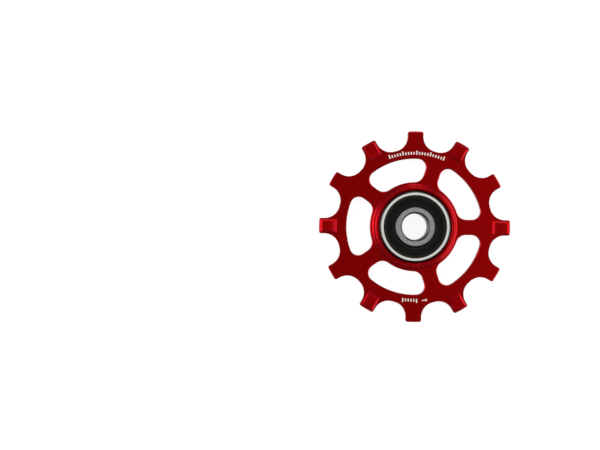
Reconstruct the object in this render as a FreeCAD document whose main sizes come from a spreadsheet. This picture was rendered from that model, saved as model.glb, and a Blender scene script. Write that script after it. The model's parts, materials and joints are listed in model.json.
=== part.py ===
import FreeCAD, Part
import math
import operator
import os
import Sketcher

# Derailleur jockey wheel: a toothed aluminium wheel on a sealed ball bearing.
# Lengths are in millimetres. The wheel's axis is Z, the middle of its width is at Z = 0,
# and a wide tooth and a spoke point along X. The front looks along +Z, and the back is alike.

SIZES = {
    # Chain and tooth outline
    "chain_pitch": 12.7,
    "roller_diameter": 7.75,
    "tooth_pairs": 6,
    "root_clearance": 0.07,
    "root_flat": 0.7,
    "tooth_addendum": 0.74,
    "tooth_width": 4.1,
    "tooth_corner_radius": 0.5,
    "tip_bevel": 0.34,
    # Plate and its windows
    "plate_thickness": 1.9,
    "rim_width": 2.56,
    "window_count": 5,
    "window_gap": 0.51,
    "spoke_width": 4.03,
    "window_outer_corner": 2.24,
    "window_inner_corner": 2.6,
    "window_edge_bevel": 0.22,
    # Raised pads that make every second tooth wide
    "pad_height": 0.57,
    "pad_foot_width": 3.6,
    "pad_side_slope": 0.5,
    "pad_ramp": 1.2,
    "pad_tip_slope": 0.76,
    "pad_shoulder_rise": 0.42,
    "pad_shoulder_reach": 0.25,
    "pad_margin": 0.1,
    # Stepped hub round the bearing
    "hub_width": 5.8,
    "seat_bevel": 0.35,
    "land_width": 0.4,
    "hub_bevel": 0.42,
    "hub_ledge_width": 0.2,
    "hub_ledge_height": 0.45,
    "hub_foot_slope": 0.42,
    # Sealed ball bearing
    "bearing_bore": 7.0,
    "bearing_diameter": 19.0,
    "bearing_width": 6.0,
    "outer_ring_bevel": 0.5,
    "bore_bevel": 0.4,
    "ball_diameter": 3.5,
    "ball_count": 7,
    "ball_clearance": 0.02,
    "raceway_conformity": 1.04,
    "raceway_depth": 0.57,
    "inner_shoulder_bevel": 0.24,
    # Rubber seals
    "seal_mouth_wall": 1.2,
    "seal_bead_depth": 0.25,
    "seal_recess": 0.2,
    "seal_cage_gap": 0.12,
    "seal_lip_clearance": 0.07,
    "seal_lip_width": 0.34,
    "seal_lip_drop": 0.12,
    "seal_lip_slope": 0.2,
    "seal_rim_width": 0.22,
    "seal_rim_step": 0.06,
    "seal_groove_width": 0.45,
    "seal_groove_depth": 0.08,
    # Pressed ball cage and its rivets
    "cage_strip": 0.28,
    "cage_inset": 0.45,
    "pocket_clearance": 0.08,
    "rivet_diameter": 0.5,
    "rivet_head_diameter": 0.84,
    "rivet_head_bevel": 0.1,
    "rivet_head_height": 0.2,
}

FULL_TURN = 360
HALF_TURN = 180
CUT_PAST = 2
# A window's corners are no larger than its height divided by this
CORNER_SHARE = 2.2
# Points this close count as one
NEAR = 1e-4

doc = FreeCAD.newDocument("jockey_wheel")


class Size:
    """A value of the model with the sheet's formula for it, so that both stay the same."""

    def __init__(self, value, formula=None):
        self.value = value
        self.formula = formula or str(value)

    def joined(self, other, sign, work):
        if not isinstance(other, Size):
            other = Size(other)
        formula = "(%s %s %s)" % (self.formula, sign, other.formula)
        return Size(work(self.value, other.value), formula)

    def __add__(self, other):
        return self.joined(other, "+", operator.add)

    def __sub__(self, other):
        return self.joined(other, "-", operator.sub)

    def __mul__(self, other):
        return self.joined(other, "*", operator.mul)

    def __truediv__(self, other):
        return self.joined(other, "/", operator.truediv)

    def __neg__(self):
        return self * -1


def root(size):
    return Size(math.sqrt(size.value), "sqrt(%s)" % size.formula)


def sine(degrees):
    return Size(math.sin(math.radians(degrees.value)), "sin(%s)" % degrees.formula)


def cosine(degrees):
    return Size(math.cos(math.radians(degrees.value)), "cos(%s)" % degrees.formula)


def smaller(first, second):
    return Size(min(first.value, second.value), "min(%s; %s)" % (first.formula, second.formula))


def fill_sheet():
    """The sheet of driving sizes, one row for each."""
    sheet = doc.addObject("Spreadsheet::Sheet", "Sizes")
    for row, (name, value) in enumerate(SIZES.items(), start=1):
        sheet.set("A%d" % row, name)
        sheet.set("B%d" % row, str(value))
        sheet.setAlias("B%d" % row, name)
    doc.recompute()


def size(name):
    return Size(SIZES[name], "Sizes." + name)


def bind(thing, name, length):
    """Ties a property to the sheet."""
    thing.setExpression(name, length.formula)


# Sizes that follow from the driving ones
pitch_step = Size(HALF_TURN) / (size("tooth_pairs") * 2)
pitch_radius = size("chain_pitch") / 2 / sine(pitch_step)
root_radius = pitch_radius - size("roller_diameter") / 2 - size("root_clearance")
tip_radius = pitch_radius + size("tooth_addendum")
half_tooth = size("tooth_width") / 2
plate_top = size("plate_thickness") / 2

seat_radius = size("bearing_diameter") / 2
hub_top = size("hub_width") / 2
land_inner = seat_radius + size("seat_bevel")
land_outer = land_inner + size("land_width")
hub_wall = land_outer + size("hub_bevel")
ledge_outer = hub_wall + size("hub_ledge_width")
hub_foot = ledge_outer + size("hub_foot_slope")
ledge_top = plate_top + size("hub_ledge_height")

window_inner = hub_foot + size("window_gap")
window_outer = root_radius - size("rim_width")

face_height = size("bearing_width") / 2
bore_radius = size("bearing_bore") / 2
ball_radius = size("ball_diameter") / 2
ball_circle = (bore_radius + seat_radius) / 2
raceway_radius = ball_radius * size("raceway_conformity")
ball_room = ball_radius + size("ball_clearance")
inner_shoulder = ball_circle - ball_room + size("raceway_depth")
outer_shoulder = ball_circle + ball_room - size("raceway_depth")
pocket_radius = ball_radius + size("pocket_clearance")
cage_crown = pocket_radius + size("cage_strip")
seal_mouth = seat_radius - size("seal_mouth_wall")
seal_top = face_height - size("seal_recess")
seal_bottom = cage_crown + size("seal_cage_gap")
ball_step = Size(FULL_TURN) / size("ball_count")


def new_body(label):
    body = doc.addObject("PartDesign::Body", label)
    body.Label = label
    return body


def origin_item(body, role):
    """One of the body's own origin planes or axes."""
    return next(item for item in body.Origin.OriginFeatures if item.Role == role)


def new_sketch(body, name, plane, offset=None, turn=0):
    """A sketch on an origin plane, moved by sizes along its own axes and turned about Z."""
    sketch = body.newObject("Sketcher::SketchObject", name)
    sketch.AttachmentSupport = (origin_item(body, plane), [""])
    sketch.MapMode = "FlatFace"
    if turn:
        axis = FreeCAD.Vector(0, 0, 1) if plane == "XY_Plane" else FreeCAD.Vector(0, 1, 0)
        sketch.AttachmentOffset = FreeCAD.Placement(FreeCAD.Vector(), FreeCAD.Rotation(axis, turn.value))
        bind(sketch, "AttachmentOffset.Rotation.Angle", turn)
    for axis, length in (offset or {}).items():
        bind(sketch, "AttachmentOffset.Base." + axis, length)
    return sketch


def limit(sketch, kind, length, *places):
    """One constraint of the sketch that follows the sheet."""
    index = sketch.addConstraint(Sketcher.Constraint(kind, *places, length.value))
    bind(sketch, "Constraints[%d]" % index, length)


def number(length):
    """The plain value of a size or a number."""
    return length.value if isinstance(length, Size) else length


def pin(sketch, edge, end, point):
    """Holds one end of an edge at its distances from the sketch's own axes."""
    horizontal_axis, vertical_axis = -1, -2
    for kind, axis, length in zip(("DistanceX", "DistanceY"), (vertical_axis, horizontal_axis), point):
        if isinstance(length, Size):
            limit(sketch, kind, length, -1, 1, edge, end)
        else:
            sketch.addConstraint(Sketcher.Constraint("PointOnObject", edge, end, axis))


def add_arc(sketch, start, end, centre):
    """The short way round from start to end; returns which ends of the arc these are."""
    radius = (start - centre).Length
    angles = [math.atan2(point.y - centre.y, point.x - centre.x) for point in (start, end)]
    forward = (angles[1] - angles[0]) % math.tau < math.pi
    if not forward:
        angles.reverse()
    whole = Part.Circle(centre, FreeCAD.Vector(0, 0, 1), radius)
    sketch.addGeometry(Part.ArcOfCircle(whole, *angles))
    return (1, 2) if forward else (2, 1)


def outline(sketch, points, arcs=None):
    """A closed outline through the points; arcs gives radius and centre of edges that are round."""
    arcs = arcs or {}
    places = [FreeCAD.Vector(number(x), number(y), 0) for x, y in points]
    first = sketch.GeometryCount
    ends = []
    for index, start in enumerate(places):
        finish = places[(index + 1) % len(places)]
        if index in arcs:
            centre = FreeCAD.Vector(*[number(length) for length in arcs[index][1]], 0)
            ends.append(add_arc(sketch, start, finish, centre))
        else:
            sketch.addGeometry(Part.LineSegment(start, finish))
            ends.append((1, 2))
    for index, point in enumerate(points):
        following = (index + 1) % len(points)
        join = (first + index, ends[index][1], first + following, ends[following][0])
        sketch.addConstraint(Sketcher.Constraint("Coincident", *join))
        pin(sketch, first + index, ends[index][0], point)
        if index in arcs:
            limit(sketch, "Radius", arcs[index][0], first + index)


def circle(sketch, radius, distance=0):
    """A circle at a distance along the sketch's level axis."""
    centre = FreeCAD.Vector(number(distance), 0, 0)
    edge = sketch.addGeometry(Part.Circle(centre, FreeCAD.Vector(0, 0, 1), radius.value))
    pin(sketch, edge, 3, (distance, 0))
    limit(sketch, "Radius", radius, edge)


def add_feature(body, kind, name, sketch):
    feature = body.newObject("PartDesign::" + kind, name)
    feature.Profile = sketch
    sketch.Visibility = False
    return feature


def revolve(body, kind, name, sketch, angle=None):
    """A Revolution or Groove about the sketch's upright axis, the same each way from its plane."""
    feature = add_feature(body, kind, name, sketch)
    feature.ReferenceAxis = (sketch, ["V_Axis"])
    feature.Midplane = True
    if angle:
        bind(feature, "Angle", angle)
    else:
        feature.Angle = FULL_TURN
    return feature


def prism(body, kind, name, sketch, length, symmetric=True):
    """A Pad or Pocket of the sketch."""
    feature = add_feature(body, kind, name, sketch)
    feature.SideType = "Symmetric" if symmetric else "One side"
    bind(feature, "Length", length)
    return feature


def repeat(body, name, originals, count):
    """Copies features round the body's Z axis."""
    pattern = body.newObject("PartDesign::PolarPattern", name)
    pattern.Originals = originals
    pattern.Axis = (origin_item(body, "Z_Axis"), [""])
    pattern.Angle = FULL_TURN
    bind(pattern, "Occurrences", count)
    body.Tip = pattern
    return pattern


def mirrored_section(upper):
    """The upper points of a section, from inside to outside, with the same points below."""
    return upper + [(radius, -height) for radius, height in reversed(upper)]


def edges_where(shape, test):
    """Names of the edges whose two ends pass the test."""
    names = []
    for index, edge in enumerate(shape.Edges, start=1):
        if len(edge.Vertexes) == 2 and test(*[vertex.Point for vertex in edge.Vertexes]):
            names.append("Edge%d" % index)
    return names


def radius_of(point):
    return math.hypot(point.x, point.y)


# Toothed wheel

def turned_blank(body):
    """Hub, plate and rim as one turned section."""
    sketch = new_sketch(body, "blank_section", "XZ_Plane")
    upper = [
        (seat_radius, hub_top - size("seat_bevel")),
        (land_inner, hub_top),
        (land_outer, hub_top),
        (hub_wall, hub_top - size("hub_bevel")),
        (hub_wall, ledge_top),
        (ledge_outer, ledge_top),
        (hub_foot, plate_top),
        (tip_radius, plate_top),
    ]
    outline(sketch, mirrored_section(upper))
    return revolve(body, "Revolution", "blank", sketch)


def tooth_gaps(body):
    """Roller seats with a short flat bottom, between teeth with parallel sides, all round the rim."""
    across, along = sine(pitch_step), cosine(pitch_step)
    half_flat = size("root_flat") / 2
    seat = (root_radius * across - half_tooth - half_flat * along) / (Size(1) - across)
    centre = root_radius + seat

    def on_flank(distance):
        return (distance * along + half_tooth * across, distance * across - half_tooth * along)

    inner_x, inner_y = on_flank(centre * along + half_flat * across)
    outer_x, outer_y = on_flank(tip_radius + CUT_PAST)
    points = [
        (inner_x, inner_y),
        (root_radius, half_flat),
        (root_radius, -half_flat),
        (inner_x, -inner_y),
        (outer_x, -outer_y),
        (outer_x, outer_y),
    ]
    sketch = new_sketch(body, "tooth_gap_outline", "XY_Plane", turn=pitch_step)
    outline(sketch, points, {0: (seat, (centre, half_flat)), 2: (seat, (centre, -half_flat))})
    gap = prism(body, "Pocket", "tooth_gap", sketch, size("hub_width"))
    return repeat(body, "tooth_gaps", [gap], size("tooth_pairs") * 2)


def rounded_tooth_corners(body, cut):
    """The two upright corners of each tooth."""
    def at_corner(start, end):
        upright = math.hypot(start.x - end.x, start.y - end.y) < NEAR
        return upright and abs(radius_of(start) - tip_radius.value) < NEAR

    doc.recompute()
    corners = body.newObject("PartDesign::Fillet", "tooth_corners")
    corners.Base = (cut, edges_where(cut.Shape, at_corner))
    bind(corners, "Radius", size("tooth_corner_radius"))
    return corners


def windows(body):
    """Openings between parallel-sided spokes, with round corners."""
    half_step = Size(HALF_TURN) / size("window_count")
    across, along = sine(half_step), cosine(half_step)
    largest = (window_outer - window_inner) / CORNER_SHARE
    outer_corner = smaller(size("window_outer_corner"), largest)
    inner_corner = smaller(size("window_inner_corner"), largest)
    side = size("spoke_width") / 2

    def beside_spoke(distance, offset):
        """A point that far out along a spoke and that far from its middle line."""
        return (distance * along + offset * across, distance * across - offset * along)

    def reach(radius, corner):
        """How far out a corner's centre lies, where that centre is at a radius."""
        return root(radius * radius - (side + corner) * (side + corner))

    outer_reach = reach(window_outer - outer_corner, outer_corner)
    inner_reach = reach(window_inner + inner_corner, inner_corner)
    outer_centre = beside_spoke(outer_reach, side + outer_corner)
    inner_centre = beside_spoke(inner_reach, side + inner_corner)
    outer_share = window_outer / (window_outer - outer_corner)
    inner_share = window_inner / (window_inner + inner_corner)
    half = [
        (inner_centre[0] * inner_share, inner_centre[1] * inner_share),
        beside_spoke(inner_reach, side),
        beside_spoke(outer_reach, side),
        (outer_centre[0] * outer_share, outer_centre[1] * outer_share),
    ]
    points = half + [(x, -y) for x, y in reversed(half)]
    arcs = {
        0: (inner_corner, inner_centre),
        2: (outer_corner, outer_centre),
        3: (window_outer, (0, 0)),
        4: (outer_corner, (outer_centre[0], -outer_centre[1])),
        6: (inner_corner, (inner_centre[0], -inner_centre[1])),
        7: (window_inner, (0, 0)),
    }
    sketch = new_sketch(body, "window_outline", "XY_Plane", turn=half_step)
    outline(sketch, points, arcs)
    opening = prism(body, "Pocket", "window", sketch, size("hub_width"))
    return repeat(body, "windows", [opening], size("window_count"))


def bevelled_windows(body, cut):
    """Broken edges round each window, on both faces of the plate."""
    inside, outside = window_inner.value - NEAR, window_outer.value + NEAR

    def at_window(start, end):
        on_face = all(abs(abs(point.z) - plate_top.value) < NEAR for point in (start, end))
        return on_face and all(inside < radius_of(point) < outside for point in (start, end))

    doc.recompute()
    bevel = body.newObject("PartDesign::Chamfer", "window_bevel")
    bevel.Base = (cut, edges_where(cut.Shape, at_window))
    bind(bevel, "Size", size("window_edge_bevel"))
    return bevel


def bevelled_narrow_tips(body):
    """Turned bevels on the tips of the narrow teeth, on both faces."""
    bevel = size("tip_bevel")
    sketch = new_sketch(body, "tip_bevel_section", "XZ_Plane", turn=pitch_step * 2)
    for side in (1, -1):
        outline(sketch, [
            (tip_radius - bevel, plate_top * side),
            (tip_radius + bevel, (plate_top - bevel * 2) * side),
            (tip_radius + bevel, plate_top * side),
        ])
    tip = revolve(body, "Groove", "tip_bevel", sketch, pitch_step * 2)
    return repeat(body, "tip_bevels", [tip], size("tooth_pairs"))


def pad_section(body, name, side, rise, reach):
    """A pad's outline, round at its outer end, at shares of the pad's height and slopes."""
    sketch = new_sketch(body, name, "XY_Plane", {"z": (plate_top + size("pad_height") * rise) * side})
    inner = root_radius + size("pad_ramp") * reach
    outer = tip_radius - size("pad_margin") - size("pad_tip_slope") * reach
    half_width = size("pad_foot_width") / 2 - size("pad_side_slope") * reach
    corner = root(outer * outer - half_width * half_width)
    points = [(inner, -half_width), (corner, -half_width), (corner, half_width), (inner, half_width)]
    outline(sketch, points, {1: (outer, (0, 0))})
    return sketch


def wide_tooth_pads(body):
    """A raised pad on both faces of every second tooth, steep at its foot and easier above a shoulder."""
    shoulder = (size("pad_shoulder_rise"), size("pad_shoulder_reach"))
    lofts = []
    for face, side in (("front", 1), ("back", -1)):
        foot = pad_section(body, face + "_pad_foot", side, 0, 0)
        middle = pad_section(body, face + "_pad_shoulder", side, *shoulder)
        top = pad_section(body, face + "_pad_top", side, 1, 1)
        loft = add_feature(body, "AdditiveLoft", face + "_pad", foot)
        loft.Sections = [middle, top]
        loft.Ruled = True
        lofts.append(loft)
    return repeat(body, "wide_tooth_pads", lofts, size("tooth_pairs"))


def toothed_wheel():
    body = new_body("toothed_wheel")
    turned_blank(body)
    gaps = tooth_gaps(body)
    rounded_tooth_corners(body, gaps)
    openings = windows(body)
    bevelled_windows(body, openings)
    bevelled_narrow_tips(body)
    wide_tooth_pads(body)
    return body


# Bearing rings

def raceway_rise(shoulder, centre):
    """Height at which the raceway's round groove meets the ring's shoulder."""
    gap = shoulder - centre
    return root(raceway_radius * raceway_radius - gap * gap)


def ring(label, upper, centre):
    """A turned ring with a ball groove; its upper points start at the groove and go round outside."""
    body = new_body(label)
    sketch = new_sketch(body, "section", "XZ_Plane")
    points = mirrored_section(upper)
    outline(sketch, points, {len(points) - 1: (raceway_radius, (centre, 0))})
    revolve(body, "Revolution", "turned_ring", sketch)
    return body


def bearing_outer_ring():
    centre = ball_circle + ball_room - raceway_radius
    bead = seal_mouth + size("seal_bead_depth")
    bead_top = seal_top - size("seal_rim_step")
    upper = [
        (outer_shoulder, raceway_rise(outer_shoulder, centre)),
        (outer_shoulder, seal_bottom),
        (bead, seal_bottom),
        (bead, bead_top),
        (seal_mouth, bead_top),
        (seal_mouth, face_height),
        (seat_radius - size("outer_ring_bevel"), face_height),
        (seat_radius, face_height - size("outer_ring_bevel")),
    ]
    return ring("bearing_outer_ring", upper, centre)


def bearing_inner_ring():
    centre = ball_circle - ball_room + raceway_radius
    bevel = size("inner_shoulder_bevel")
    upper = [
        (inner_shoulder, raceway_rise(inner_shoulder, centre)),
        (inner_shoulder, face_height - bevel),
        (inner_shoulder - bevel, face_height),
        (bore_radius + size("bore_bevel"), face_height),
        (bore_radius, face_height - size("bore_bevel")),
    ]
    return ring("bearing_inner_ring", upper, centre)


# Seals

def seal(label, side):
    """A moulded disc, held by its bead, with a shallow groove and a lip close to the inner ring."""
    lip_tip = inner_shoulder + size("seal_lip_clearance")
    lip_foot = lip_tip + size("seal_lip_width")
    bead = seal_mouth + size("seal_bead_depth")
    disc_top = seal_top - size("seal_rim_step")
    rim = seal_mouth - size("seal_rim_width")
    upper = [
        (lip_tip, seal_bottom),
        (lip_tip, disc_top - size("seal_lip_drop")),
        (lip_foot, disc_top - size("seal_lip_drop")),
        (lip_foot + size("seal_lip_slope"), disc_top),
        (rim - size("seal_groove_width"), disc_top),
        (rim - size("seal_groove_width") / 2, disc_top - size("seal_groove_depth")),
        (rim, seal_top),
        (seal_mouth, seal_top),
        (seal_mouth, disc_top),
        (bead, disc_top),
        (bead, seal_bottom),
    ]
    body = new_body(label)
    sketch = new_sketch(body, "section", "XZ_Plane")
    outline(sketch, [(radius, height * side) for radius, height in upper])
    revolve(body, "Revolution", "moulded_disc", sketch)
    return body


# Balls, cage and rivets

def ball(number_round):
    """One ball on the ball circle."""
    solid = doc.addObject("Part::Sphere", "ball_%d" % (number_round + 1))
    solid.Label = "ball_%d" % (number_round + 1)
    angle = ball_step * number_round
    bind(solid, "Radius", ball_radius)
    bind(solid, "Placement.Base.x", ball_circle * cosine(angle))
    bind(solid, "Placement.Base.y", ball_circle * sine(angle))
    return solid


def half_disc(sketch, radius, side):
    """Half a disc, above or below the sketch's level axis."""
    points = [(-radius, 0), (radius, 0), (0, radius * side)]
    outline(sketch, points, {1: (radius, (0, 0)), 2: (radius, (0, 0))})


def over_each_ball(body, kind, name, radius, side):
    """A half round bar over each ball, lying out from the axis, added or cut away."""
    sketch = new_sketch(body, name + "_section", "YZ_Plane", {"z": ball_circle})
    half_disc(sketch, radius, side)
    bar = prism(body, kind, name, sketch, cage_crown * 2)
    return repeat(body, name + "s", [bar], size("ball_count"))


def cage_half(label, side):
    """A pressed ring that arches over each ball, flat where it is riveted."""
    strip = size("cage_strip")
    inner, outer = inner_shoulder + size("cage_inset"), outer_shoulder - size("cage_inset")
    body = new_body(label)

    flat = new_sketch(body, "flat_outline", "XY_Plane", {"z": strip / 2 * side})
    circle(flat, outer)
    circle(flat, inner)
    prism(body, "Pad", "flat_ring", flat, strip)
    over_each_ball(body, "Pad", "arch", cage_crown, side)

    trim = new_sketch(body, "trim_section", "XZ_Plane")
    low, high = -(cage_crown * side), cage_crown * side * 2
    for near, far in ((inner - cage_crown, inner), (outer, outer + cage_crown)):
        outline(trim, [(near, low), (far, low), (far, high), (near, high)])
    revolve(body, "Groove", "trim", trim)
    over_each_ball(body, "Pocket", "pocket", pocket_radius, side)

    hole_outline = new_sketch(body, "rivet_hole_outline", "XY_Plane", turn=ball_step / 2)
    circle(hole_outline, size("rivet_diameter") / 2, ball_circle)
    hole = prism(body, "Pocket", "rivet_hole", hole_outline, strip * 2 * CUT_PAST)
    repeat(body, "rivet_holes", [hole], size("ball_count"))
    return body


def rivet(number_round):
    """A rivet through both cage halves, with a low bevelled head each side."""
    body = new_body("rivet_%d" % (number_round + 1))
    shank, head = size("rivet_diameter") / 2, size("rivet_head_diameter") / 2
    strip, bevel = size("cage_strip"), size("rivet_head_bevel")
    top = strip + size("rivet_head_height")
    sketch = new_sketch(body, "section", "XZ_Plane", {"x": ball_circle})
    right = [(shank, strip), (head, strip), (head, top - bevel), (head - bevel, top)]
    lower = [(radius, -height) for radius, height in reversed(right)]
    outline(sketch, lower + right + [(0, top), (0, -top)])
    revolve(body, "Revolution", "shank_and_heads", sketch)
    turn = ball_step * (number_round + 0.5)
    turned = FreeCAD.Rotation(FreeCAD.Vector(0, 0, 1), turn.value)
    body.Placement = FreeCAD.Placement(FreeCAD.Vector(), turned)
    bind(body, "Placement.Rotation.Angle", turn)
    return body


def check_objects():
    """Stops with the names of what failed to build."""
    failed = [item.Name for item in doc.Objects if {"Invalid", "Error"} & set(item.State)]
    if failed:
        raise RuntimeError("failed to build: " + ", ".join(failed))


def main():
    fill_sheet()
    parts = [toothed_wheel(), bearing_outer_ring(), bearing_inner_ring()]
    parts += [seal("seal_front", 1), seal("seal_back", -1)]
    parts += [cage_half("cage_front", 1), cage_half("cage_back", -1)]
    parts += [ball(index) for index in range(SIZES["ball_count"])]
    parts += [rivet(index) for index in range(SIZES["ball_count"])]
    doc.recompute()
    check_objects()
    os.makedirs("parts", exist_ok=True)
    for part in parts:
        if part.Shape.isNull() or not part.Shape.isValid() or len(part.Shape.Solids) != 1:
            raise RuntimeError("%s is not one sound solid" % part.Label)
    for part in parts:
        part.Shape.exportStep("parts/%s.step" % part.Label)
        print("%-20s volume %9.3f  faces %d" % (part.Label, part.Shape.Volume, len(part.Shape.Faces)))


main()
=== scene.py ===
import json
import math

import bpy
from mathutils import Matrix, Vector

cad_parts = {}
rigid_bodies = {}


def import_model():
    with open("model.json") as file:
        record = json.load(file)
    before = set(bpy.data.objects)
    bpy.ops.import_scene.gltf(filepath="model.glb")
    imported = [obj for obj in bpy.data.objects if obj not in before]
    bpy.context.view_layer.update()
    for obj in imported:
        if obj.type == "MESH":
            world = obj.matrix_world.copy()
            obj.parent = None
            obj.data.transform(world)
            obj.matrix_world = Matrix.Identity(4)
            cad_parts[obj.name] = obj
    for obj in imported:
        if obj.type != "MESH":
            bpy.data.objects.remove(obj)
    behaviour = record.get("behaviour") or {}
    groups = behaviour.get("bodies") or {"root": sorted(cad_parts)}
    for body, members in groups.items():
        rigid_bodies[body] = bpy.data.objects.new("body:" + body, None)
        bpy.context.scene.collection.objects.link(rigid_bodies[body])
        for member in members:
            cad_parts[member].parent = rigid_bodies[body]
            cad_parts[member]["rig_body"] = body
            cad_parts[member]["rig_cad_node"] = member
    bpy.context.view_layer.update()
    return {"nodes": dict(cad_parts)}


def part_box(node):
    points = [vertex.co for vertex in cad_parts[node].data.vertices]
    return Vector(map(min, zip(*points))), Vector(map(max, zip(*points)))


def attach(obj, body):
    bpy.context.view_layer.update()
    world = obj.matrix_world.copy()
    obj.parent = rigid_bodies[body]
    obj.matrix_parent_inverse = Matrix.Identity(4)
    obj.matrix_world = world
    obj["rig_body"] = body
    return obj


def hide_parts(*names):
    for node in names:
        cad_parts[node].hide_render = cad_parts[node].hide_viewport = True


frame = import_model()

bl_info = {
    "name": "Jockey wheel",
    "version": (1, 0, 0),
    "blender": (4, 5, 0),
    "location": "View3D > Sidebar > Jockey Wheel",
    "description": "Dresses a derailleur jockey wheel and its sealed bearing on a pale floor",
    "category": "Object",
}

# Sizes are in metres and angles in radians.
# The wheel's axis is Z, its front looks along +Z, and angles are counted from X.
MM = 0.001
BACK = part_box("bearing_inner_ring")[0].z
WHEEL_CENTRE = Vector((0, 0, 0))
BALLS = sorted(name for name in frame["nodes"] if name.startswith("ball_"))
RIVETS = sorted(name for name in frame["nodes"] if name.startswith("rivet_"))

# The plate's front face, and the outside of the turned hub
PLATE_TOP = 0.95 * MM
HUB_RADIUS = 11.35 * MM
# Turned corners of the bearing's rings lie further out than this from the middle of its width
CORNER_HEIGHT = 2.4 * MM
# All of the bearing's bore lies within this radius, and the teeth with their pads lie outside that one
BORE_RADIUS = 3.95 * MM
PAD_RADIUS = 20.4 * MM
# The pads' faces stand out of the plate by more than this
PAD_MARGIN = 0.01 * MM

# How much of a face's normal points along the axis: more on a level face, less on an upright one
LEVEL = 0.97
UPRIGHT = 0.3
# The same for the flat faces of the bearing's rings
RING_FACE = 0.9

# Loose corners this near each other are one, and so are faces that turn by less than this
MERGE_DISTANCE = 0.001 * MM
FLAT_ANGLE = math.radians(0.4)
# Edges that turn by more than the first angle are broken, and those under the second look smooth
SHARP_ANGLE = math.radians(24)
SMOOTH_ANGLE = math.radians(18)
BEVEL_SEGMENTS = 2
# Shading follows the large faces fully, and the small bevels turn between them
LARGE_FACE_WEIGHT = 100

# The etched marks lie on a ring of this radius, and stand this far out of the plate
MARK_RADIUS = 19.62 * MM
MARK_RISE = 0.008 * MM
# Strokes of the etched scales, the first of every five a long one
STROKE_STEP = math.radians(2.15)
STROKE_WIDTH = 0.34 * MM
LONG_STROKE = 1.05 * MM
SHORT_STROKE = 0.72 * MM
LONG_STROKE_EVERY = 5
# The long scale at the top and the short one at the foot, each from its first stroke
TOP_SCALE_START = math.radians(67.5)
TOP_SCALE_STROKES = 21
FOOT_SCALE_START = math.radians(261.5)
FOOT_SCALE_STROKES = 6
# The arrow beside the short scale, with its head so far ahead of the middle of its shaft
ARROW_PLACE = math.radians(277.6)
ARROW_LENGTH = 0.9 * MM
ARROW_WIDTH = 0.2 * MM
ARROW_HEAD_RADIUS = 0.44 * MM
ARROW_HEAD_AHEAD = math.radians(1.95)

# Colours of the pieces that are shut in between the bearing's rings
CERAMIC_DARK = (0.07, 0.07, 0.08)
CERAMIC_LIGHT = (0.1, 0.1, 0.11)
PRESSED_STEEL = (0.62, 0.61, 0.58)

# The floor lies this far under the bearing, so that the two faces don't share one plane
FLOOR_GAP = 0.01 * MM
FLOOR_SIZE = 4.0
WHITE = (1, 1, 1, 1)
# The camera sees nothing that is nearer than this
NEAREST_SEEN = 10 * MM

# The photograph's frame in pixels, for places worked out from it. Whole numbers are middles of pixels.
PICTURE_WIDTH, PICTURE_HEIGHT = 600, 450
PICTURE_CENTRE = ((PICTURE_WIDTH - 1) / 2, (PICTURE_HEIGHT - 1) / 2)


# Sizes and colours that a user may change

class AnodisedFinish(bpy.types.PropertyGroup):
    dye: bpy.props.FloatVectorProperty(
        name="Dye", description="Colour of the anodised metal",
        subtype="COLOR", size=3, min=0, max=1, default=(0.31, 0.0001, 0.0004))
    # Edge colour: paler and pinker than the dye, partly thin dye along the broken edges and partly a
    # painted highlight
    edge_dye_and_highlight: bpy.props.FloatVectorProperty(
        name="Edge dye", description="Colour where the dye is thin, along broken edges",
        subtype="COLOR", size=3, min=0, max=1, default=(0.33, 0.002, 0.007))
    # Pad colour: brighter than the plate's dye, a painted highlight on the pads' level tops
    pad_painted_highlight: bpy.props.FloatVectorProperty(
        name="Pad dye", description="Colour of the level tops of the pads on the wide teeth",
        subtype="COLOR", size=3, min=0, max=1, default=(0.35, 0.0001, 0.0006))
    # Slope colour: a brighter, bluer copy of the dye that paints a crimson highlight on every slope
    slope_painted_highlight: bpy.props.FloatVectorProperty(
        name="Slope dye", description="Colour of the slopes, which are cut after blasting",
        subtype="COLOR", size=3, min=0, max=1, default=(0.35, 0.0005, 0.005))
    roughness: bpy.props.FloatProperty(
        name="Roughness", description="Blur of reflections in the blasted surface",
        min=0, max=1, default=0.36)
    oxide_gloss: bpy.props.FloatProperty(
        name="Oxide gloss", description="Strength of the clear oxide's own reflection",
        min=0, max=1, default=0.055)
    oxide_roughness: bpy.props.FloatProperty(
        name="Oxide blur", description="Blur of the clear oxide's own reflection",
        min=0, max=1, default=0.18)
    edge_break: bpy.props.FloatProperty(
        name="Edge break", description="Width of the small bevel along every sharp edge",
        unit="LENGTH", min=0, default=0.06 * MM)
    etched: bpy.props.FloatVectorProperty(
        name="Etched marks", description="Colour where a laser has taken the dye off",
        subtype="COLOR", size=3, min=0, max=1, default=(0.85, 0.74, 0.7))


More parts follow.
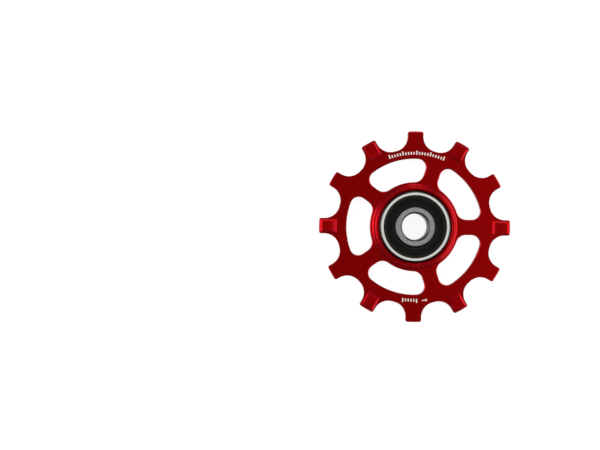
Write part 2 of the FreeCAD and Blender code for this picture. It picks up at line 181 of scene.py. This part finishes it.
class BearingFinish(bpy.types.PropertyGroup):
    outer_steel: bpy.props.FloatVectorProperty(
        name="Outer ring", description="Colour of the outer ring's ground steel",
        subtype="COLOR", size=3, min=0, max=1, default=(0.74, 0.74, 0.72))
    inner_steel: bpy.props.FloatVectorProperty(
        name="Inner ring", description="Colour of the inner ring's satin steel",
        subtype="COLOR", size=3, min=0, max=1, default=(0.33, 0.33, 0.322))
    # Ring corners: a dark steel, partly the corners' own darker turned steel and partly painted shade in
    # the gap beside the hub; on the bore wall it is painted shade
    corner_steel_and_shade: bpy.props.FloatVectorProperty(
        name="Ring corners", description="Colour of the rings' turned corners, dark from hardening",
        subtype="COLOR", size=3, min=0, max=1, default=(0.08, 0.075, 0.07))
    rubber: bpy.props.FloatVectorProperty(
        name="Seals", description="Colour of the seals' rubber",
        subtype="COLOR", size=3, min=0, max=1, default=(0.0025, 0.002, 0.001))
    # Seals' ridges: a lighter rubber on the slopes and bevels, a painted highlight
    seal_painted_highlight: bpy.props.FloatVectorProperty(
        name="Seals' ridges", description="Colour of the seals' slopes and edges, greyer from wear",
        subtype="COLOR", size=3, min=0, max=1, default=(0.012, 0.011, 0.009))
    edge_break: bpy.props.FloatProperty(
        name="Edge break", description="Width of the small bevel along the rings' and seals' edges",
        unit="LENGTH", min=0, default=0.05 * MM)


class Studio(bpy.types.PropertyGroup):
    camera_height: bpy.props.FloatProperty(
        name="Camera height", description="Distance from the camera to the plate's front face",
        unit="LENGTH", min=0.05, default=0.3)
    picture_scale: bpy.props.FloatProperty(
        name="Pixel", description="Length on the plate that one pixel of the picture covers",
        unit="LENGTH", min=0.00001, default=0.2645 * MM)
    wheel_place: bpy.props.FloatVectorProperty(
        name="Wheel in picture", description="Place of the wheel's centre in the picture, in pixels",
        size=2, default=(414.1, 226.25))
    wheel_turn: bpy.props.FloatProperty(
        name="Wheel turn", description="Turn of the wheel in the picture",
        subtype="ANGLE", default=math.radians(-0.75))
    floor_colour: bpy.props.FloatVectorProperty(
        name="Floor", description="Colour of the floor",
        subtype="COLOR", size=3, min=0, max=1, default=(0.3, 0.3, 0.3))
    floor_lift: bpy.props.FloatProperty(
        name="Floor lift", description="Whiteness that the floor adds where it is seen",
        min=0, max=1, default=0.87)
    room_light: bpy.props.FloatProperty(
        name="Room light", description="Brightness of the room all round", min=0, default=0.31)
    top_light: bpy.props.FloatProperty(
        name="Top light", description="Brightness of the high panel on the right", min=0, default=1.4)
    right_light: bpy.props.FloatProperty(
        name="Right light", description="Brightness of the long low panel on the right",
        min=0, default=3.9)
    left_light: bpy.props.FloatProperty(
        name="Left light", description="Brightness of the high panel on the left", min=0, default=2.5)
    strip_light: bpy.props.FloatProperty(
        name="Strip light", description="Brightness of the long low strip on the left",
        min=0, default=2.85)
    far_light: bpy.props.FloatProperty(
        name="Far light", description="Brightness of the small panel behind the wheel",
        min=0, default=3.4)


SETTINGS = {"anodised": AnodisedFinish, "bearing": BearingFinish, "studio": Studio}


def settings(name):
    return getattr(bpy.context.scene, "jockey_" + name)


# Selecting and finishing meshes

def select_only(*items):
    """Selects these objects alone, and makes the last of them the active one."""
    bpy.ops.object.select_all(action="DESELECT")
    for item in items:
        item.select_set(True)
    bpy.context.view_layer.objects.active = items[-1]


def finished(piece, body, node):
    """Sets a piece on its body and hides the CAD node that it stands for."""
    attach(piece, body)
    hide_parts(node)


def merged_copy(node, name, material):
    """A copy of a CAD node in a finish of its own, with its triangles joined and its flat faces whole."""
    select_only(frame["nodes"][node])
    bpy.ops.object.duplicate()
    piece = bpy.context.object
    piece.name = piece.data.name = name
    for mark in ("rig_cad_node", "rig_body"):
        del piece[mark]
    bpy.ops.object.mode_set(mode="EDIT")
    bpy.ops.mesh.select_all(action="SELECT")
    bpy.ops.mesh.customdata_custom_splitnormals_clear()
    bpy.ops.mesh.remove_doubles(threshold=MERGE_DISTANCE)
    bpy.ops.mesh.dissolve_limited(angle_limit=FLAT_ANGLE)
    bpy.ops.object.mode_set(mode="OBJECT")
    piece.data.materials.clear()
    piece.data.materials.append(material)
    return piece


def paint(piece, material, chosen):
    """Gives the faces that are chosen a finish of their own."""
    piece.data.materials.append(material)
    for face in piece.data.polygons:
        if chosen(face):
            face.material_index = len(piece.data.materials) - 1


def break_edges(piece, width, material):
    """Small bevels in a finish of their own along every sharp edge, and smooth shading between them."""
    piece.data.materials.append(material)
    bevel = piece.modifiers.new("edge_break", "BEVEL")
    bevel.limit_method = "ANGLE"
    bevel.angle_limit = SHARP_ANGLE
    bevel.width = width
    bevel.segments = BEVEL_SEGMENTS
    bevel.material = len(piece.data.materials) - 1
    select_only(piece)
    bpy.ops.object.modifier_apply(modifier=bevel.name)
    bpy.ops.object.shade_smooth_by_angle(angle=SMOOTH_ANGLE)
    shading = piece.modifiers.new("level_faces", "WEIGHTED_NORMAL")
    shading.keep_sharp = True
    shading.weight = LARGE_FACE_WEIGHT
    bpy.ops.object.modifier_apply(modifier=shading.name)


def is_slope(face):
    """True for turned, milled or moulded slopes, neither level nor upright."""
    return UPRIGHT < abs(face.normal.z) < LEVEL


def is_pad(face):
    """True for the raised pads of the wide teeth."""
    raised = abs(face.center.z) > PLATE_TOP + PAD_MARGIN
    return raised and face.center.xy.length > PAD_RADIUS


def is_ring_corner(face):
    """True for the turned corners of a bearing ring and for the wall of its bore."""
    slopes = abs(face.normal.z) < RING_FACE
    in_bore = face.center.xy.length < BORE_RADIUS
    return slopes and (in_bore or abs(face.center.z) > CORNER_HEIGHT)


# Materials

def new_material(name):
    """A node material and its Principled shader."""
    material = bpy.data.materials.new(name)
    material.use_nodes = True
    nodes = material.node_tree.nodes
    shader = next(node for node in nodes if node.type == "BSDF_PRINCIPLED")
    return material, shader


def add_node(material, kind, **values):
    """Adds a node. Each value goes to the input of that name, or else to the node's own setting."""
    node = material.node_tree.nodes.new(kind)
    for name, value in values.items():
        if name in node.inputs:
            node.inputs[name].default_value = value
        else:
            setattr(node, name, value)
    return node


def join(material, source, target):
    material.node_tree.links.new(source, target)


def grain(material, per_metre, detail=2.0):
    """Noise that is fixed to the piece, with so many grains a metre."""
    place = add_node(material, "ShaderNodeTexCoord")
    noise = add_node(material, "ShaderNodeTexNoise", Scale=per_metre, Detail=detail)
    join(material, place.outputs["Object"], noise.inputs["Vector"])
    return noise.outputs["Fac"]


def distance_from_axis(material):
    place = add_node(material, "ShaderNodeTexCoord")
    flat = add_node(material, "ShaderNodeVectorMath", operation="MULTIPLY")
    flat.inputs[1].default_value = (1, 1, 0)
    length = add_node(material, "ShaderNodeVectorMath", operation="LENGTH")
    join(material, place.outputs["Object"], flat.inputs[0])
    join(material, flat.outputs["Vector"], length.inputs[0])
    return length.outputs["Value"]


def turning_marks(material, pitch):
    """Uneven rings left by the lathe tool, a pitch apart."""
    spread = add_node(material, "ShaderNodeMath", operation="DIVIDE")
    spread.inputs[1].default_value = pitch
    rings = add_node(material, "ShaderNodeTexNoise", noise_dimensions="1D", Scale=1.0, Detail=2.0)
    join(material, distance_from_axis(material), spread.inputs[0])
    join(material, spread.outputs["Value"], rings.inputs["W"])
    return rings.outputs["Fac"]


def inside(material, value, radius):
    """Keeps a value within a radius of the axis, and is nought outside it."""
    within = add_node(material, "ShaderNodeMath", operation="LESS_THAN")
    within.inputs[1].default_value = radius
    kept = add_node(material, "ShaderNodeMath", operation="MULTIPLY")
    join(material, distance_from_axis(material), within.inputs[0])
    join(material, within.outputs["Value"], kept.inputs[0])
    join(material, value, kept.inputs[1])
    return kept.outputs["Value"]


def varied(material, value, middle, spread):
    """Takes a value from 0 to 1 to as much below and above the middle."""
    ranged = add_node(material, "ShaderNodeMapRange")
    ranged.inputs["To Min"].default_value = middle - spread
    ranged.inputs["To Max"].default_value = middle + spread
    join(material, value, ranged.inputs["Value"])
    return ranged.outputs["Result"]


def shaded(colour, share):
    """A colour at a share of its brightness."""
    return tuple(channel * share for channel in colour)


def tinted(material, value, dark, light):
    """Goes from one colour to the other as a value goes from 0 to 1."""
    mix = add_node(material, "ShaderNodeMix", data_type="RGBA")
    colours = [socket for socket in mix.inputs if socket.type == "RGBA"]
    colours[0].default_value = (*dark, 1)
    colours[1].default_value = (*light, 1)
    join(material, value, mix.inputs["Factor"])
    return next(socket for socket in mix.outputs if socket.type == "RGBA")


def bumped(material, height, depth, strength, under=None):
    """A bump so deep from a height that goes from 0 to 1, on top of another bump if there is one."""
    bump = add_node(material, "ShaderNodeBump", Strength=strength, Distance=depth)
    join(material, height, bump.inputs["Height"])
    if under:
        join(material, under, bump.inputs["Normal"])
    return bump.outputs["Normal"]


def anodised_aluminium(name, dye):
    """Blasted and dyed metal under clear oxide, with the lathe's marks left on the hub."""
    finish = settings("anodised")
    material, shader = new_material(name)
    shader.inputs["Metallic"].default_value = 1.0
    shader.inputs["Coat Weight"].default_value = finish.oxide_gloss
    shader.inputs["Coat Roughness"].default_value = finish.oxide_roughness
    shader.inputs["Coat IOR"].default_value = 1.6
    cloud = grain(material, per_metre=260, detail=3)
    colour = tinted(material, cloud, shaded(dye, 0.94), shaded(dye, 1.06))
    join(material, colour, shader.inputs["Base Color"])
    blasted = grain(material, per_metre=9000, detail=3)
    blur = varied(material, blasted, finish.roughness, spread=0.05)
    join(material, blur, shader.inputs["Roughness"])
    marks = inside(material, turning_marks(material, pitch=0.11 * MM), HUB_RADIUS)
    rings = bumped(material, marks, depth=0.003 * MM, strength=0.6)
    pits = bumped(material, blasted, depth=0.004 * MM, strength=0.5, under=rings)
    join(material, pits, shader.inputs["Normal"])
    return material


def etched_metal(name, colour):
    """Bare oxide where a laser has burnt the dye off, dull and a little uneven."""
    material, shader = new_material(name)
    patches = grain(material, per_metre=7000, detail=3)
    tint = tinted(material, patches, shaded(colour, 0.85), colour)
    join(material, tint, shader.inputs["Base Color"])
    join(material, varied(material, patches, 0.6, spread=0.1), shader.inputs["Roughness"])
    return material


def ground_metal(name, colour, roughness, mark_pitch, mottle, sheen=1.0):
    """Steel ground on a turning table, with fine rings, a mottle and so much sheen along its surface."""
    material, shader = new_material(name)
    shader.inputs["Metallic"].default_value = 1.0
    shader.inputs["Specular Tint"].default_value = (sheen, sheen, sheen, 1)
    patches = grain(material, per_metre=4200, detail=4)
    tint = tinted(material, patches, shaded(colour, 1 - mottle), shaded(colour, 1 + mottle))
    join(material, tint, shader.inputs["Base Color"])
    marks = turning_marks(material, mark_pitch)
    join(material, varied(material, marks, roughness, spread=0.08), shader.inputs["Roughness"])
    rings = bumped(material, marks, depth=0.002 * MM, strength=0.5)
    pits = bumped(material, patches, depth=0.002 * MM, strength=0.3, under=rings)
    join(material, pits, shader.inputs["Normal"])
    return material


def seal_rubber(name, colour):
    """Dull moulded rubber, with cloudy patches and a fine grain."""
    material, shader = new_material(name)
    shader.inputs["Specular IOR Level"].default_value = 0.1
    patches = grain(material, per_metre=1400, detail=4)
    tint = tinted(material, patches, shaded(colour, 0.8), shaded(colour, 1.4))
    join(material, tint, shader.inputs["Base Color"])
    fine = grain(material, per_metre=14000)
    join(material, varied(material, fine, 0.6, spread=0.1), shader.inputs["Roughness"])
    join(material, bumped(material, fine, depth=0.006 * MM, strength=0.5), shader.inputs["Normal"])
    return material


def lapped_ceramic(name):
    """Dark ceramic, lapped until it shines."""
    material, shader = new_material(name)
    shader.inputs["Coat Weight"].default_value = 0.5
    shader.inputs["Coat Roughness"].default_value = 0.05
    fine = grain(material, per_metre=6000, detail=3)
    join(material, tinted(material, fine, CERAMIC_DARK, CERAMIC_LIGHT), shader.inputs["Base Color"])
    join(material, varied(material, fine, 0.16, spread=0.04), shader.inputs["Roughness"])
    return material


# The pieces

class JOCKEY_OT_toothed_wheel(bpy.types.Operator):
    """Finishes the toothed wheel: broken edges, red anodising and plain etched marks"""
    bl_idname = "jockey.toothed_wheel"
    bl_label = "Toothed wheel"

    def execute(self, context):
        finish = settings("anodised")
        plain = anodised_aluminium("anodised_aluminium", finish.dye)
        wheel = merged_copy("toothed_wheel", "anodised_wheel", plain)
        # The pads' level tops get a brighter copy of the dye, a painted highlight
        paint(wheel, anodised_aluminium("anodised_pads_painted_highlight", finish.pad_painted_highlight), is_pad)
        # The slopes get a brighter, bluer copy of the dye, a painted highlight
        paint(wheel, anodised_aluminium("anodised_slopes_painted_highlight", finish.slope_painted_highlight), is_slope)
        # The bevels along sharp edges take the paler, pinker edge colour: partly thin dye, partly a
        # painted highlight
        break_edges(wheel, finish.edge_break, anodised_aluminium("anodised_edges_and_highlight", finish.edge_dye_and_highlight))
        marks = self.scale_marks(TOP_SCALE_START, TOP_SCALE_STROKES)
        marks += self.scale_marks(FOOT_SCALE_START, FOOT_SCALE_STROKES)
        marks += self.direction_arrow(ARROW_PLACE)
        etched = etched_metal("etched_marks", finish.etched)
        for mark in marks:
            mark.data.materials.append(etched)
        select_only(*marks, wheel)
        bpy.ops.object.join()
        finished(wheel, "wheel", "toothed_wheel")
        return {"FINISHED"}

    def bar(self, angle, across, out, shift=0):
        """A thin bar on the plate, so wide across and so long outwards, shifted off the marks' ring."""
        place = Vector((math.cos(angle), math.sin(angle), 0)) * (MARK_RADIUS + shift)
        bpy.ops.mesh.primitive_cube_add(
            size=1, location=place + Vector((0, 0, PLATE_TOP)), rotation=(0, 0, angle),
            scale=(out, across, MARK_RISE * 2))
        bar = bpy.context.object
        bpy.ops.object.transform_apply(location=True, rotation=True, scale=True)
        return bar

    def scale_marks(self, start, count):
        """Strokes that start on one ring and reach outwards, the long ones further."""
        marks = []
        for index in range(count):
            out = LONG_STROKE if index % LONG_STROKE_EVERY == 0 else SHORT_STROKE
            angle = start + index * STROKE_STEP
            marks.append(self.bar(angle, STROKE_WIDTH, out, (out - LONG_STROKE) / 2))
        return marks

    def direction_arrow(self, angle):
        """A short shaft along the ring, and a head that points anticlockwise."""
        shaft = self.bar(angle, ARROW_LENGTH, ARROW_WIDTH)
        ahead = angle + ARROW_HEAD_AHEAD
        bpy.ops.mesh.primitive_cylinder_add(
            vertices=3, radius=ARROW_HEAD_RADIUS, depth=MARK_RISE * 2, rotation=(0, 0, ahead),
            location=Matrix.Rotation(ahead, 4, "Z") @ Vector((MARK_RADIUS, 0, PLATE_TOP)))
        head = bpy.context.object
        bpy.ops.object.transform_apply(location=True, rotation=True, scale=True)
        return [shaft, head]


class JOCKEY_OT_bearing_rings(bpy.types.Operator):
    """Finishes the bearing's two steel rings"""
    bl_idname = "jockey.bearing_rings"
    bl_label = "Bearing rings"

    def execute(self, context):
        finish = settings("bearing")
        bright = ground_metal(
            "bearing_steel", finish.outer_steel, roughness=0.5, mark_pitch=0.05 * MM, mottle=0.03)
        satin = ground_metal(
            "ground_steel", finish.inner_steel, roughness=0.42, mark_pitch=0.07 * MM, mottle=0.85)
        # The turned corners get dark steel, partly their own darker turned steel and partly painted shade
        # in the gap beside the hub; the bore wall gets it as painted shade, with a dulled grazing
        # reflection
        corners = ground_metal(
            "dark_corners_and_painted_shade", finish.corner_steel_and_shade, roughness=0.35, mark_pitch=0.05 * MM, mottle=0.1,
            sheen=0.7)
        outer = merged_copy("bearing_outer_ring", "polished_outer_ring", bright)
        inner = merged_copy("bearing_inner_ring", "satin_inner_ring", satin)
        for ring in (outer, inner):
            paint(ring, corners, is_ring_corner)
            break_edges(ring, finish.edge_break, corners)
        finished(outer, "wheel", "bearing_outer_ring")
        finished(inner, "inner_ring", "bearing_inner_ring")
        return {"FINISHED"}


class JOCKEY_OT_seals(bpy.types.Operator):
    """Finishes the two rubber seals"""
    bl_idname = "jockey.seals"
    bl_label = "Seals"

    def execute(self, context):
        finish = settings("bearing")
        rubber = seal_rubber("seal_rubber", finish.rubber)
        # The seals' slopes and bevels get a lighter rubber, a painted highlight
        ridge_highlight = seal_rubber("seal_painted_highlight", finish.seal_painted_highlight)
        for node in ("seal_front", "seal_back"):
            seal = merged_copy(node, "moulded_" + node, rubber)
            paint(seal, ridge_highlight, is_slope)
            break_edges(seal, finish.edge_break, ridge_highlight)
            finished(seal, "wheel", node)
        return {"FINISHED"}


class JOCKEY_OT_ball_row(bpy.types.Operator):
    """Finishes the balls, their cage and its rivets"""
    bl_idname = "jockey.ball_row"
    bl_label = "Ball row"

    def execute(self, context):
        ceramic = lapped_ceramic("ball_ceramic")
        pressed = ground_metal(
            "pressed_steel", PRESSED_STEEL, roughness=0.3, mark_pitch=0.2 * MM, mottle=0.05)
        for names, material in ((BALLS, ceramic), (RIVETS + ["cage_front", "cage_back"], pressed)):
            for name in names:
                frame["nodes"][name].material_slots[0].material = material
        return {"FINISHED"}


# The stage

def area_light(name, brightness, place, size):
    """A soft panel that faces the wheel. Its power is worked out from how bright it has to look."""
    width, height = size
    towards = (WHEEL_CENTRE - Vector(place)).to_track_quat("-Z", "Y")
    bpy.ops.object.light_add(type="AREA", location=place, rotation=towards.to_euler())
    lamp = bpy.context.object
    lamp.name = name
    lamp.data.shape = "RECTANGLE"
    lamp.data.size = width
    lamp.data.size_y = height
    lamp.data.energy = brightness * math.pi * width * height
    lamp.visible_camera = False


class JOCKEY_OT_stage(bpy.types.Operator):
    """Adds the floor, the soft lights, the room and the camera"""
    bl_idname = "jockey.stage"
    bl_label = "Stage"

    def execute(self, context):
        studio = settings("studio")
        self.add_floor(studio)
        self.add_lights(studio)
        self.add_room(context, studio)
        self.add_camera(context, studio)
        return {"FINISHED"}

    def add_floor(self, studio):
        bpy.ops.mesh.primitive_plane_add(size=FLOOR_SIZE, location=(0, 0, BACK - FLOOR_GAP))
        floor = bpy.context.object
        floor.name = floor.data.name = "floor"
        bpy.ops.object.transform_apply(location=True, rotation=True, scale=True)
        floor.data.materials.append(self.floor_material(studio))

    def floor_material(self, studio):
        """A pale dull floor that shows white to the camera and in reflections, and keeps its shadows."""
        material, shader = new_material("floor")
        shader.inputs["Roughness"].default_value = 0.9
        shader.inputs["Specular IOR Level"].default_value = 0.1
        shader.inputs["Emission Color"].default_value = WHITE
        pale = studio.floor_colour
        tone = tinted(material, grain(material, per_metre=30), shaded(pale, 0.995), pale)
        join(material, tone, shader.inputs["Base Color"])
        path = add_node(material, "ShaderNodeLightPath")
        seen = path.outputs["Is Camera Ray"]
        for kind in ("Is Glossy Ray", "Is Transmission Ray"):
            either = add_node(material, "ShaderNodeMath", operation="MAXIMUM")
            join(material, seen, either.inputs[0])
            join(material, path.outputs[kind], either.inputs[1])
            seen = either.outputs["Value"]
        lift = add_node(material, "ShaderNodeMath", operation="MULTIPLY")
        lift.inputs[1].default_value = studio.floor_lift
        join(material, seen, lift.inputs[0])
        join(material, lift.outputs["Value"], shader.inputs["Emission Strength"])
        return material

    def add_lights(self, studio):
        area_light("top_panel", studio.top_light, place=(0.54, 0, 0.62), size=(0.56, 0.8))
        area_light("right_panel", studio.right_light, place=(0.6, 0, 0.11), size=(1.2, 0.22))
        area_light("left_panel", studio.left_light, place=(-0.54, 0.08, 0.48), size=(0.48, 0.8))
        area_light("left_strip", studio.strip_light, place=(-0.6, 0.02, 0.1), size=(0.52, 0.2))
        area_light("far_panel", studio.far_light, place=(0.07, 0.6, 0.3), size=(0.24, 0.5))

    def add_room(self, context, studio):
        world = bpy.data.worlds.new("room")
        world.use_nodes = True
        background = next(node for node in world.node_tree.nodes if node.type == "BACKGROUND")
        background.inputs["Color"].default_value = WHITE
        background.inputs["Strength"].default_value = studio.room_light
        context.scene.world = world

    def add_camera(self, context, studio):
        """A camera that looks straight down, with the wheel at its place in the picture."""
        turn = -studio.wheel_turn
        across = (PICTURE_CENTRE[0] - studio.wheel_place[0]) * studio.picture_scale
        up = (studio.wheel_place[1] - PICTURE_CENTRE[1]) * studio.picture_scale
        spot = Matrix.Rotation(turn, 4, "Z") @ Vector((across, up, PLATE_TOP + studio.camera_height))
        bpy.ops.object.camera_add(location=spot, rotation=(0, 0, turn))
        camera = bpy.context.object
        camera.name = "photograph_camera"
        width_seen = PICTURE_WIDTH * studio.picture_scale
        camera.data.lens = camera.data.sensor_width * studio.camera_height / width_seen
        camera.data.clip_start = NEAREST_SEEN
        context.scene.camera = camera


OPERATORS = [
    JOCKEY_OT_toothed_wheel,
    JOCKEY_OT_bearing_rings,
    JOCKEY_OT_seals,
    JOCKEY_OT_ball_row,
    JOCKEY_OT_stage,
]


class JOCKEY_PT_panel(bpy.types.Panel):
    """Lists the wheel's pieces and their settings"""
    bl_label = "Jockey wheel"
    bl_idname = "JOCKEY_PT_panel"
    bl_space_type = "VIEW_3D"
    bl_region_type = "UI"
    bl_category = "Jockey Wheel"

    def draw(self, context):
        for operator in OPERATORS:
            self.layout.operator(operator.bl_idname)
        for name, group in SETTINGS.items():
            box = self.layout.box()
            for field in group.__annotations__:
                box.prop(settings(name), field)


def register():
    for name, group in SETTINGS.items():
        bpy.utils.register_class(group)
        setattr(bpy.types.Scene, "jockey_" + name, bpy.props.PointerProperty(type=group))
    for item in OPERATORS + [JOCKEY_PT_panel]:
        bpy.utils.register_class(item)


def unregister():
    for item in reversed(OPERATORS + [JOCKEY_PT_panel]):
        bpy.utils.unregister_class(item)
    for name, group in SETTINGS.items():
        delattr(bpy.types.Scene, "jockey_" + name)
        bpy.utils.unregister_class(group)


def main():
    register()
    bpy.context.scene.view_settings.view_transform = "Standard"
    bpy.ops.jockey.toothed_wheel()
    bpy.ops.jockey.bearing_rings()
    bpy.ops.jockey.seals()
    bpy.ops.jockey.ball_row()
    bpy.ops.jockey.stage()


if __name__ == "__main__":
    main()
